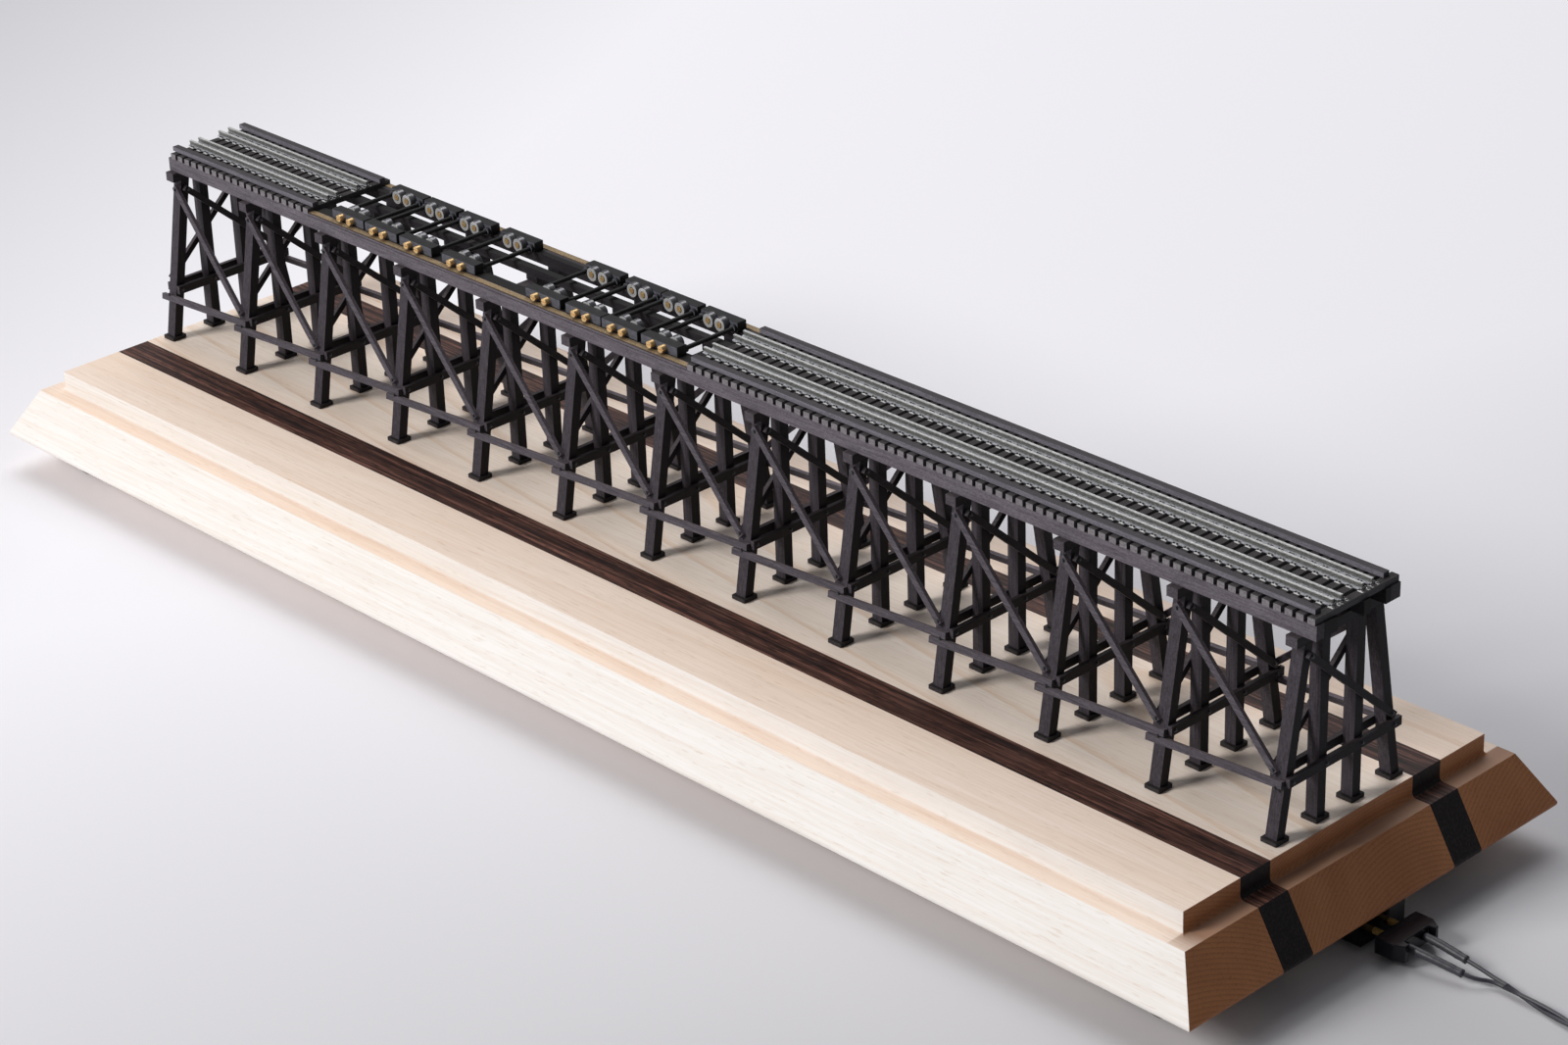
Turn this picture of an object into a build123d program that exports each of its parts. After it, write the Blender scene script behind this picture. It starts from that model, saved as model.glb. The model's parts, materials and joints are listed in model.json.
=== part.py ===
from build123d import *
import os
from math import atan2, cos, degrees, pi, radians, sin, tan

# Timber-trestle running stand for H0 locomotives. Millimetres.
# +X runs along the track to the plug end, +Y to the rear, +Z up. The stand rests on z = 0 and
# x = y = 0 is the middle of the plinth. The trestle stands a little behind the plinth's middle.

# ---- plinth -------------------------------------------------------------------------------
FOOT_H = 12.5
BASE_HALF_X = 288.0
BASE_HALF_Y = 85.2
LEDGE_Z = 30.9
LEDGE_HALF_X = 277.1
LEDGE_HALF_Y = 75.1
PANEL_Z = 38.0
PANEL_HALF_X = 270.5
PANEL_HALF_Y = 68.3
BASE_EDGE_R = 1.4
COVE_R = 1.6
FRONT_INLAY = (-43.8, -30.8)
REAR_INLAY = (34.0, 47.0)
FOOT_X = 262.0
FOOT_Y = 60.0

# ---- trestle ------------------------------------------------------------------------------
TRESTLE_Y = 4.3
BENTS = 13
BENT_X0 = -265.3
BENT_PITCH = 44.15
POST_X = 4.3
POST_Y = 3.6
PAD = 6.1
PAD_H = 1.4
MID_POST_Y = 8.0
FOOT_POST_Y = 26.0
HEAD_POST_Y = 15.8
CAP_LOW = 98.8
CAP_HALF_Y = 21.0
CAP_X = 4.2
DECK_LOW = 102.1
DECK_TOP = 106.9
DECK_HALF_Y = 18.7
DECK_X = (-268.0, 271.5)
RUNWAY_TOP = DECK_TOP + 0.5
OPEN_X = (-184.9, 12.4)
FRONT_INNER = (-15.0, -11.4)
FRONT_STEP = (-11.4, -9.5)
FRONT_STEP_TOP = 106.65
REAR_INNER = (12.1, 15.0)
MIDDLE_RUN = (2.35, 5.25)
REAR_INNER_LOW = 103.6
MIDDLE_LOW = 104.1
GROOVE_Z = (106.4, 106.65)
STRIP_Y = (15.95, 18.2)
STRIP_Z = (RUNWAY_TOP - 0.05, RUNWAY_TOP + 0.2)
BRACE_T = 1.55

# ---- track --------------------------------------------------------------------------------
TIE_TOP = 108.9
TIE_W = 2.7
RIGHT_TIE_X0 = 14.05
RIGHT_TIE_PITCH = 4.12
RIGHT_TIES = 63
LEFT_TIE_X0 = -265.0
LEFT_TIE_PITCH = 4.137
LEFT_TIES = 20
RAIL_TOP = 111.0
RAIL_Y = (-8.75, -4.9, 4.4, 8.75)
RIGHT_RAIL = (10.4, 269.1)
LEFT_RAIL = (-267.5, -185.6)
RIGHT_TIMBER = (12.3, 269.0)
LEFT_TIMBER = (-268.0, -184.9)
TIMBER_TOP = 110.5

# ---- roller carriages ---------------------------------------------------------------------
CARRIAGE_X = (-166.2, -147.9, -128.9, -105.8, -61.8, -41.5, -23.5, -4.2)
BLOCK_L = 17.6
BLOCK_IN = 11.4
BLOCK_OUT = 15.4
BLOCK_LOW = RUNWAY_TOP + 0.03
BLOCK_TOP = 110.9
AXLE_Z = 109.25
AXLE_DX = 2.75
ROLLER_D = 5.0
ROLLER_IN = 8.75
ROLLER_OUT = 11.3
AXLE_D = 1.6
BORE_D = 1.7
AXLE_TIP = 8.5
ROD_DX = 7.3
ROD_Z = 108.75

# ---- plug and lead ------------------------------------------------------------------------
PLUG_Y = 5.0
PIN_Z = 5.3
PIN_D = 2.2
PIN_DY = 3.5
TAIL_DY = 3.9
CORD_D = 2.6
TAIL_D = 1.2
SLEEVE_D = 2.6
JOIN = (326.0, 8.0, 1.9)
LEAD_ROUTE = (JOIN, (338.0, 6.8, 1.42), (352.0, 5.2, 1.35), (366.0, 4.6, 1.35), (379.8, 5.4, 1.35))
COIL_C = (389.5, -11.9)
COIL_MID_R = 15.0
COIL_HALF_W = 4.2
COIL_H = 10.6

BENT_X = [BENT_X0 + i * BENT_PITCH for i in range(BENTS)]

os.makedirs("parts", exist_ok=True)


def save(part, node):
    part.label = node
    export_step(part, "parts/" + node + ".step")
    print(node, len(part.solids()), "solids", round(part.volume, 2), "mm3")


def span_box(x, y, z):
    """A box between two corners, given as a pair of limits along each axis."""
    with Locations(((x[0] + x[1]) / 2, (y[0] + y[1]) / 2, (z[0] + z[1]) / 2)):
        Box(x[1] - x[0], y[1] - y[0], z[1] - z[0])


def arcs(points):
    """The largest even arc at each corner of a cord's route: 0.45 of the shorter run."""
    radii = []
    for a, b, c in zip(points, points[1:], points[2:]):
        u = Vector(*b) - Vector(*a)
        v = Vector(*c) - Vector(*b)
        half = radians(u.get_angle(v)) / 2
        radii.append(0.45 * min(u.length, v.length) / tan(half))
    return radii


def cord_tube(points, diameter):
    """A round cord along straight runs joined by tangent arcs."""
    radii = arcs(points)
    print("  arc radii", [round(r, 1) for r in radii])
    with BuildPart() as tube:
        with BuildLine() as path:
            FilletPolyline(*points, radius=radii)
        with BuildSketch(Plane(origin=points[0], z_dir=path.wires()[0] % 0)):
            Circle(diameter / 2)
        sweep()
    length = path.wires()[0].length
    print("  length", round(length, 2), "volume over section times length",
          round(tube.part.volume / (length * pi * diameter ** 2 / 4), 4))
    return tube.part


# ==== plinth ===============================================================================
with BuildPart() as blank:
    with BuildSketch(Plane.XY.offset(FOOT_H)):
        Rectangle(2 * BASE_HALF_X, 2 * BASE_HALF_Y)
    with BuildSketch(Plane.XY.offset(LEDGE_Z)):
        Rectangle(2 * LEDGE_HALF_X, 2 * LEDGE_HALF_Y)
    loft()
    fillet(blank.edges().group_by(Axis.Z)[0], radius=BASE_EDGE_R)
    with BuildSketch(Plane.XY.offset(LEDGE_Z)):
        Rectangle(2 * PANEL_HALF_X, 2 * PANEL_HALF_Y)
    extrude(amount=PANEL_Z - LEDGE_Z)
    foot_line = [e for e in blank.edges().filter_by(GeomType.LINE)
                 if abs(e.center().Z - LEDGE_Z) < 0.01
                 and abs(e.center().X) < PANEL_HALF_X + 0.1
                 and abs(e.center().Y) < PANEL_HALF_Y + 0.1]
    fillet(foot_line, radius=COVE_R)

SCREW_AT = [(sx * FOOT_X, sy * FOOT_Y) for sx in (-1, 1) for sy in (-1, 1)]
FEED_X = BENT_X[-1]


def board(y_low, y_high):
    """One lengthwise strip of the plinth, with the holes that fall in it."""
    with BuildPart() as strip:
        add(blank.part)
        with Locations((0, (y_low + y_high) / 2, 30)):
            Box(700, y_high - y_low, 100, mode=Mode.INTERSECT)
        for hx, hy in SCREW_AT:
            if y_low < hy < y_high:
                with Locations((hx, hy, FOOT_H + 6)):
                    Cylinder(1.5, 12, mode=Mode.SUBTRACT)
        for side in (-1, 1):
            if y_low < TRESTLE_Y < y_high:
                with Locations((FEED_X, TRESTLE_Y + side * MID_POST_Y, 25)):
                    Cylinder(0.6, 40, mode=Mode.SUBTRACT)
    return strip.part


save(board(-BASE_HALF_Y - 1, FRONT_INLAY[0]), "front_board")
save(board(FRONT_INLAY[1], REAR_INLAY[0]), "middle_board")
save(board(REAR_INLAY[1], BASE_HALF_Y + 1), "rear_board")

with BuildPart() as inlays:
    add(blank.part)
    with Locations((0, sum(FRONT_INLAY) / 2, 30), (0, sum(REAR_INLAY) / 2, 30)):
        Box(700, FRONT_INLAY[1] - FRONT_INLAY[0], 100, mode=Mode.INTERSECT)
save(inlays.part, "inlay_strips")

with BuildPart() as feet:
    with Locations([(x, y, 0) for x, y in SCREW_AT]):
        Cone(9.5, 11, FOOT_H, align=(Align.CENTER, Align.CENTER, Align.MIN))
        Cylinder(1.9, FOOT_H, align=(Align.CENTER, Align.CENTER, Align.MIN), mode=Mode.SUBTRACT)
        Cylinder(4.2, 5.5, align=(Align.CENTER, Align.CENTER, Align.MIN), mode=Mode.SUBTRACT)
save(feet.part, "rubber_feet")

with BuildPart() as foot_screws:
    with Locations([(x, y, 0) for x, y in SCREW_AT]):
        with Locations((0, 0, 3.3)):
            Cylinder(3.3, 2.2, align=(Align.CENTER, Align.CENTER, Align.MIN))
            Cylinder(1.5, 20.0, align=(Align.CENTER, Align.CENTER, Align.MIN))
            Box(5.0, 0.9, 1.0, align=(Align.CENTER, Align.CENTER, Align.MIN), mode=Mode.SUBTRACT)
            Box(0.9, 5.0, 1.0, align=(Align.CENTER, Align.CENTER, Align.MIN), mode=Mode.SUBTRACT)
save(foot_screws.part, "foot_screws")

# ==== trestle bents ========================================================================
with BuildPart() as pads:
    with Locations([(x, TRESTLE_Y + s * y, PANEL_Z)
                    for x in BENT_X for s in (-1, 1) for y in (MID_POST_Y, FOOT_POST_Y)]):
        Box(PAD, PAD, PAD_H, align=(Align.CENTER, Align.CENTER, Align.MIN))
    for side in (-1, 1):
        with Locations((FEED_X, TRESTLE_Y + side * MID_POST_Y, PANEL_Z)):
            Cylinder(0.6, 5, mode=Mode.SUBTRACT)
save(pads.part, "post_pads")

with BuildPart() as posts:
    for x in BENT_X:
        for side in (-1, 1):
            y_mid = TRESTLE_Y + side * MID_POST_Y
            span_box((x - POST_X / 2, x + POST_X / 2), (y_mid - POST_Y / 2, y_mid + POST_Y / 2),
                     (PANEL_Z + PAD_H, CAP_LOW))
            y_foot = TRESTLE_Y + side * FOOT_POST_Y
            y_head = TRESTLE_Y + side * HEAD_POST_Y
            with BuildSketch(Plane.YZ.offset(x)):
                Polygon((y_foot - POST_Y / 2, PANEL_Z + PAD_H), (y_foot + POST_Y / 2, PANEL_Z + PAD_H),
                        (y_head + POST_Y / 2, CAP_LOW), (y_head - POST_Y / 2, CAP_LOW), align=None)
            extrude(amount=POST_X / 2, both=True)
    for side in (-1, 1):
        with Locations((FEED_X, TRESTLE_Y + side * MID_POST_Y, 70)):
            Cylinder(0.6, 80, mode=Mode.SUBTRACT)
save(posts.part, "posts")

with BuildPart() as caps:
    with Locations([(x, TRESTLE_Y, CAP_LOW) for x in BENT_X]):
        Box(CAP_X, 2 * CAP_HALF_Y, DECK_LOW - CAP_LOW, align=(Align.CENTER, Align.CENTER, Align.MIN))
    for side in (-1, 1):
        with Locations((FEED_X, TRESTLE_Y + side * MID_POST_Y, DECK_LOW)):
            Cylinder(0.6, 20, mode=Mode.SUBTRACT)
save(caps.part, "caps")

SASH_Z = (55.9, 58.9)
with BuildPart() as sash:
    for x in BENT_X:
        x_face = x + POST_X / 2
        span_box((x_face, x_face + BRACE_T), (TRESTLE_Y - 24.5, TRESTLE_Y + 26.3), SASH_Z)
        x_face = x - POST_X / 2
        span_box((x_face - BRACE_T, x_face), (TRESTLE_Y - 24.3, TRESTLE_Y + 24.3), SASH_Z)
save(sash.part, "sash_braces")


def plank(start, end, width):
    """A square-cut plank between two points of the current sketch plane."""
    dx = end[0] - start[0]
    dy = end[1] - start[1]
    with Locations(((start[0] + end[0]) / 2, (start[1] + end[1]) / 2)):
        Rectangle((dx * dx + dy * dy) ** 0.5, width, rotation=degrees(atan2(dy, dx)))


with BuildPart() as sway:
    for x in BENT_X:
        with BuildSketch(Plane.YZ.offset(x + POST_X / 2)):
            plank((TRESTLE_Y - 16.9, 96.0), (TRESTLE_Y + 23.3, 60.2), 2.2)
        extrude(amount=BRACE_T)
        with BuildSketch(Plane.YZ.offset(x - POST_X / 2)):
            plank((TRESTLE_Y + 16.0, 96.0), (TRESTLE_Y - 23.0, 60.2), 2.2)
        extrude(amount=-BRACE_T)
save(sway.part, "sway_braces")

# The lengthwise braces lie flat on the raked faces of the outer posts: u is along X and v runs
# up the rake, measured from the panel.
RAKE = atan2(FOOT_POST_Y - HEAD_POST_Y, CAP_LOW - PANEL_Z - PAD_H)


def side_plane(side):
    """The plane of the outer post faces on one side, with its normal outward."""
    y_face = TRESTLE_Y + side * (FOOT_POST_Y + POST_Y / 2)
    return Plane(origin=(0, y_face, PANEL_Z + PAD_H), x_dir=(-side, 0, 0),
                 z_dir=(0, side * cos(RAKE), sin(RAKE)))


def on_side(side, x, z):
    return (-side * x, (z - PANEL_Z - PAD_H) / cos(RAKE))


with BuildPart() as girts:
    for side in (-1, 1):
        for x_a, x_b in zip(BENT_X, BENT_X[1:]):
            with BuildSketch(side_plane(side)):
                plank(on_side(side, x_a - 4.5, 53.7), on_side(side, x_b + 2.1, 56.7), 2.2)
            extrude(amount=1.5)
save(girts.part, "girts")

with BuildPart() as long_braces:
    for side in (-1, 1):
        for x_a, x_b in zip(BENT_X, BENT_X[1:]):
            with BuildSketch(side_plane(side)):
                if side < 0:
                    plank(on_side(side, x_a - 0.3, 96.0), on_side(side, x_b - 1.0, 59.5), 2.1)
                else:
                    plank(on_side(side, x_b + 0.3, 96.0), on_side(side, x_a + 1.0, 59.5), 2.1)
            extrude(amount=1.5)
save(long_braces.part, "lengthwise_braces")

# ==== deck timbers, contact strips and feed rods ============================================
with BuildPart() as stringers:
    for side in (-1, 1):
        y_out = sorted((TRESTLE_Y + side * DECK_HALF_Y, TRESTLE_Y + side * 15.1))
        span_box(DECK_X, y_out, (DECK_LOW, DECK_TOP))
        span_box(OPEN_X, y_out, (DECK_TOP - 1, STRIP_Z[0]))
    for y_in in (FRONT_INNER, REAR_INNER):
        y_abs = (TRESTLE_Y + y_in[0], TRESTLE_Y + y_in[1])
        span_box(DECK_X, y_abs, (DECK_LOW, DECK_TOP))
        span_box(OPEN_X, y_abs, (DECK_TOP - 1, RUNWAY_TOP))
    span_box(DECK_X, (TRESTLE_Y + FRONT_STEP[0], TRESTLE_Y + FRONT_STEP[1]), (DECK_LOW, FRONT_STEP_TOP))
    span_box(DECK_X, (TRESTLE_Y + MIDDLE_RUN[0], TRESTLE_Y + MIDDLE_RUN[1]), (DECK_LOW, DECK_TOP))
    # Between the caps the undersides of the middle and rear inner timbers are relieved.
    for x_a, x_b in zip(BENT_X, BENT_X[1:]):
        for y_run, z_low in ((MIDDLE_RUN, MIDDLE_LOW), (REAR_INNER, REAR_INNER_LOW)):
            y_cut = (TRESTLE_Y + y_run[0] - 0.05, TRESTLE_Y + y_run[1] + 0.05)
            x_mid = (x_a + x_b) / 2
            half = (x_b - x_a) / 2 - CAP_X / 2 - 0.6
            with Locations((x_mid, sum(y_cut) / 2, (DECK_LOW - 1 + z_low) / 2)):
                Box(2 * half, y_cut[1] - y_cut[0], z_low - DECK_LOW + 1, mode=Mode.SUBTRACT)
    # A scored line below the runway planks runs along the outer faces in the open part.
    for side in (-1, 1):
        with Locations((sum(OPEN_X) / 2, TRESTLE_Y + side * DECK_HALF_Y, sum(GROOVE_Z) / 2)):
            Box(OPEN_X[1] - OPEN_X[0], 0.5, GROOVE_Z[1] - GROOVE_Z[0], mode=Mode.SUBTRACT)
save(stringers.part, "stringers")

with BuildPart() as strips:
    for side in (-1, 1):
        y_pair = sorted((TRESTLE_Y + side * STRIP_Y[0], TRESTLE_Y + side * STRIP_Y[1]))
        span_box(OPEN_X, y_pair, STRIP_Z)
save(strips.part, "brass_strips")

with BuildPart() as feed_rods:
    for side in (-1, 1):
        with Locations((FEED_X, TRESTLE_Y + side * MID_POST_Y, FOOT_H)):
            Cylinder(0.5, DECK_TOP - FOOT_H, align=(Align.CENTER, Align.CENTER, Align.MIN))
save(feed_rods.part, "feed_rods")

# ==== ties, rails and guard timbers =========================================================
TIE_X = [RIGHT_TIE_X0 + k * RIGHT_TIE_PITCH for k in range(RIGHT_TIES)]
TIE_X += [LEFT_TIE_X0 + k * LEFT_TIE_PITCH for k in range(LEFT_TIES)]
with BuildPart() as ties:
    with Locations([(x, TRESTLE_Y, DECK_TOP) for x in TIE_X]):
        Box(TIE_W, 2 * DECK_HALF_Y, TIE_TOP - DECK_TOP, align=(Align.CENTER, Align.CENTER, Align.MIN))
save(ties.part, "ties")

RAIL_H = RAIL_TOP - TIE_TOP
RAIL_SECTION = [(-0.95, 0), (0.95, 0), (0.95, 0.3), (0.25, 0.6), (0.25, 1.4), (0.45, 1.5), (0.45, RAIL_H),
                (-0.45, RAIL_H), (-0.45, 1.5), (-0.25, 1.4), (-0.25, 0.6), (-0.95, 0.3)]
with BuildPart() as rails:
    for x_ends in (RIGHT_RAIL, LEFT_RAIL):
        for y_rail in RAIL_Y:
            with BuildSketch(Plane(origin=(x_ends[0], TRESTLE_Y + y_rail, TIE_TOP),
                                   x_dir=(0, 1, 0), z_dir=(1, 0, 0))):
                Polygon(*RAIL_SECTION, align=None)
            extrude(amount=x_ends[1] - x_ends[0])
save(rails.part, "rails")

with BuildPart() as guard_timbers:
    for x_ends in (RIGHT_TIMBER, LEFT_TIMBER):
        for side in (-1, 1):
            y_pair = sorted((TRESTLE_Y + side * 13.9, TRESTLE_Y + side * 16.4))
            span_box(x_ends, y_pair, (TIE_TOP, TIMBER_TOP))
save(guard_timbers.part, "guard_timbers")


# ==== roller carriages ======================================================================
def carriage_frame(cx):
    """Two side blocks and the two cross rods, with their collars, that hold them apart."""
    with BuildPart() as frame:
        for side in (-1, 1):
            y_pair = sorted((TRESTLE_Y + side * BLOCK_IN, TRESTLE_Y + side * BLOCK_OUT))
            span_box((cx - BLOCK_L / 2, cx + BLOCK_L / 2), y_pair, (BLOCK_LOW, BLOCK_TOP))
        chamfer(frame.edges(), length=0.15)
        for dx in (-AXLE_DX, AXLE_DX):
            with Locations((cx + dx, TRESTLE_Y, AXLE_Z)):
                Cylinder(AXLE_D / 2, 40, rotation=(90, 0, 0), mode=Mode.SUBTRACT)
    with BuildPart() as rods:
        for dx in (-ROD_DX, ROD_DX):
            with Locations((cx + dx, TRESTLE_Y, ROD_Z)):
                Cylinder(0.8, 2 * BLOCK_IN, rotation=(90, 0, 0))
            for side in (-1, 1):
                with Locations((cx + dx, TRESTLE_Y + side * (BLOCK_IN - 0.6), ROD_Z)):
                    Cylinder(1.35, 1.2, rotation=(90, 0, 0))
    return Compound(children=list(frame.part.solids()) + list(rods.part.solids()))


def axle_screws(cx):
    """Slotted screws through the front block, plain shouldered pins through the rear one."""
    with BuildPart() as screws:
        for dx in (-AXLE_DX, AXLE_DX):
            for side in (-1, 1):
                with Locations((cx + dx, TRESTLE_Y + side * (AXLE_TIP + BLOCK_OUT) / 2, AXLE_Z)):
                    Cylinder(AXLE_D / 2, BLOCK_OUT - AXLE_TIP, rotation=(90, 0, 0))
                with Locations((cx + dx, TRESTLE_Y + side * (AXLE_TIP + 0.1), AXLE_Z)):
                    Cylinder(1.0, 0.2, rotation=(90, 0, 0))
                head = 2.1 if side < 0 else 0.45
                with Locations((cx + dx, TRESTLE_Y + side * (BLOCK_OUT + head / 2), AXLE_Z)):
                    Cylinder(1.2, head, rotation=(90, 0, 0))
            with Locations((cx + dx, TRESTLE_Y - BLOCK_OUT - 2.1, AXLE_Z)):
                Box(3.0, 0.7, 0.35, mode=Mode.SUBTRACT)
    return screws.part


def roller_pair(ax):
    """The two rollers on one axle line, with a shallow shield recess in each face."""
    mid = (ROLLER_IN + ROLLER_OUT) / 2
    half = (ROLLER_OUT - ROLLER_IN) / 2
    with BuildPart() as pair:
        for side in (-1, 1):
            with Locations((ax, TRESTLE_Y + side * mid, AXLE_Z)):
                Cylinder(ROLLER_D / 2, 2 * half, rotation=(90, 0, 0))
        chamfer(pair.edges().filter_by(GeomType.CIRCLE), length=0.2)
        for side in (-1, 1):
            with Locations((ax, TRESTLE_Y + side * mid, AXLE_Z)):
                Cylinder(BORE_D / 2, 8, rotation=(90, 0, 0), mode=Mode.SUBTRACT)
            for face in (-1, 1):
                with Locations((ax, TRESTLE_Y + side * mid + face * half, AXLE_Z)):
                    with BuildSketch(Plane(origin=(0, 0, 0), z_dir=(0, 1, 0))):
                        Circle(2.0)
                        Circle(1.35, mode=Mode.SUBTRACT)
                    extrude(amount=0.15, both=True, mode=Mode.SUBTRACT)
    return pair.part


for number, cx in enumerate(CARRIAGE_X, start=1):
    save(carriage_frame(cx), "carriage_%d_frame" % number)
    save(axle_screws(cx), "carriage_%d_screws" % number)
    save(roller_pair(cx - AXLE_DX), "rollers_%da" % number)
    save(roller_pair(cx + AXLE_DX), "rollers_%db" % number)

# ==== socket, plug and lead =================================================================
SOCKET_X = (262.0, 283.5)
PLUG_X = (288.2, 298.2)
PIN_X = (272.0, 292.0)
RECESS_X = 296.0


def pin_bores():
    """The two pin holes, taken out of the part being built."""
    for side in (-1, 1):
        with Locations(((PIN_X[0] + PIN_X[1]) / 2, PLUG_Y + side * PIN_DY, PIN_Z)):
            Cylinder(PIN_D / 2, PIN_X[1] - PIN_X[0], rotation=(0, 90, 0), mode=Mode.SUBTRACT)


with BuildPart() as socket:
    span_box(SOCKET_X, (PLUG_Y - 10.5, PLUG_Y + 10.5), (2.4, FOOT_H))
    fillet(socket.edges().filter_by(Axis.X), radius=1.0)
    pin_bores()
save(socket.part, "socket")

with BuildPart() as plug:
    with BuildSketch(Plane.XY.offset(2.6)):
        Polygon((PLUG_X[0], -4.4), (RECESS_X - 1.0, -4.4), (PLUG_X[1], -3.0), (PLUG_X[1], -1.0),
                (RECESS_X, -0.7), (RECESS_X, 10.7), (PLUG_X[1], 11.2), (PLUG_X[1], 12.4),
                (RECESS_X - 1.4, 14.6), (PLUG_X[0], 14.6), align=None)
    extrude(amount=5.5)
    fillet(plug.edges().filter_by(Axis.Z), radius=0.3)
    chamfer(plug.faces().sort_by(Axis.Z)[-1].edges(), length=0.2)
    pin_bores()
save(plug.part, "plug")

with BuildPart() as pins:
    for side in (-1, 1):
        with Locations(((PIN_X[0] + PIN_X[1]) / 2, PLUG_Y + side * PIN_DY, PIN_Z)):
            Cylinder(PIN_D / 2, PIN_X[1] - PIN_X[0], rotation=(0, 90, 0))
save(pins.part, "plug_pins")

FRONT_SLEEVE = ((RECESS_X, PLUG_Y - TAIL_DY, PIN_Z), (301.5, PLUG_Y - TAIL_DY, PIN_Z), (314.4, 3.0, 3.4))
REAR_SLEEVE = ((RECESS_X, PLUG_Y + TAIL_DY, PIN_Z), (300.5, PLUG_Y + TAIL_DY, PIN_Z), (311.3, 8.9, 3.9))
LEAD_DIR = (Vector(*LEAD_ROUTE[1]) - Vector(*LEAD_ROUTE[0])).normalized()
LEAD_SIDE = Vector(0, 0, 1).cross(LEAD_DIR).normalized()


def tail_route(sleeve, side):
    """From the sleeve's end, straight out of it, to the lead's end beside the other wire."""
    end = Vector(*sleeve[2])
    out = (end - Vector(*sleeve[1])).normalized()
    stop = Vector(*JOIN) + LEAD_SIDE * (side * 0.65)
    return [end, end + out * 3.5, stop - LEAD_DIR * 4.0, stop]


with BuildPart() as sleeves:
    add(cord_tube(FRONT_SLEEVE, SLEEVE_D))
    add(cord_tube(REAR_SLEEVE, SLEEVE_D))
save(sleeves.part, "lead_sleeves")

with BuildPart() as tails:
    add(cord_tube([tuple(p) for p in tail_route(FRONT_SLEEVE, -1)], TAIL_D))
    add(cord_tube([tuple(p) for p in tail_route(REAR_SLEEVE, 1)], TAIL_D))
save(tails.part, "lead_tails")

save(cord_tube(LEAD_ROUTE, CORD_D), "lead")

with BuildPart() as coil:
    with BuildSketch(Plane.XZ.offset(-COIL_C[1])):
        with Locations((COIL_C[0] + COIL_MID_R, COIL_H / 2)):
            RectangleRounded(2 * COIL_HALF_W, COIL_H, 1.2)
    revolve(axis=Axis((COIL_C[0], COIL_C[1], 0), (0, 0, 1)))
save(coil.part, "lead_coil")

FAR_C = (COIL_C[0] + 9.0, COIL_C[1] + COIL_MID_R + COIL_HALF_W + 3.6, 3.0)
with BuildPart() as far_plug:
    with Locations(FAR_C):
        Box(12.0, 7.2, 6.0)
    fillet(far_plug.edges().filter_by(Axis.X), radius=1.0)
    for side in (-1, 1):
        with Locations((FAR_C[0] + 6.0, FAR_C[1] + side * 1.7, FAR_C[2])):
            Cylinder(0.9, 10.0, rotation=(0, 90, 0), mode=Mode.SUBTRACT)
save(far_plug.part, "far_plug")
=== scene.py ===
import bmesh
import bpy
import json
import math
from mathutils import Euler, Matrix, Vector

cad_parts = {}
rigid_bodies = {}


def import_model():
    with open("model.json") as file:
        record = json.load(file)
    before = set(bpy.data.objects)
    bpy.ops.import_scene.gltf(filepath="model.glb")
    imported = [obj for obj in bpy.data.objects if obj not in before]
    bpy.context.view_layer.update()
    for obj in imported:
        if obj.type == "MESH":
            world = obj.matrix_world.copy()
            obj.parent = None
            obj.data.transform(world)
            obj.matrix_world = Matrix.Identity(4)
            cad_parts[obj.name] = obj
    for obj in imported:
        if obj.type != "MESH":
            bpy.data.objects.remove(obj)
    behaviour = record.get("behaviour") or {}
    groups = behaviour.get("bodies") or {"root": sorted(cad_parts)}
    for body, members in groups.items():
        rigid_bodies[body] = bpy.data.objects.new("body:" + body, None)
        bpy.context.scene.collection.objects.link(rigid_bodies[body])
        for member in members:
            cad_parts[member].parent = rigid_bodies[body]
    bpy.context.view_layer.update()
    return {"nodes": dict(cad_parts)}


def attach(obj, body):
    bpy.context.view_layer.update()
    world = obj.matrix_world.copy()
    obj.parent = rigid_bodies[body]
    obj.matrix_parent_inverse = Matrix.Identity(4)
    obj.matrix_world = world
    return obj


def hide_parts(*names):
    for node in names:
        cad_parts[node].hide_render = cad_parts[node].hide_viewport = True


# Running stand for H0 locomotives: maple plinth, timber trestle, end tracks and roller carriages.
# Lengths are in metres. +X runs along the track to the plug end, +Y to the rear, +Z up.

for stray in list(bpy.data.objects):
    bpy.data.objects.remove(stray)
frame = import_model()
nodes = frame["nodes"]
scene = bpy.context.scene
scene.view_settings.view_transform = "Standard"
MM = 0.001
UP = Vector((0, 0, 1))

# ---- camera --------------------------------------------------------------------------------
cam_data = bpy.data.cameras.new("camera")
cam_data.sensor_width = 36.0
cam_data.lens = 91.79
cam_data.clip_start = 0.05
cam_data.clip_end = 60.0
cam = bpy.data.objects.new("camera", cam_data)
cam.location = (0.88836, -0.79080, 0.63402)
cam.rotation_euler = Euler([math.radians(a) for a in (63.4916, 1.8163, 46.0968)])
scene.collection.objects.link(cam)
scene.camera = cam

# ---- helpers -------------------------------------------------------------------------------


def mm(*point):
    return Vector([v * MM for v in point])


def mesh_object(name, bm, smooth=False):
    mesh = bpy.data.meshes.new(name)
    bm.normal_update()
    bm.to_mesh(mesh)
    bm.free()
    if smooth:
        mesh.shade_smooth()
    obj = bpy.data.objects.new(name, mesh)
    scene.collection.objects.link(obj)
    return obj


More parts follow.
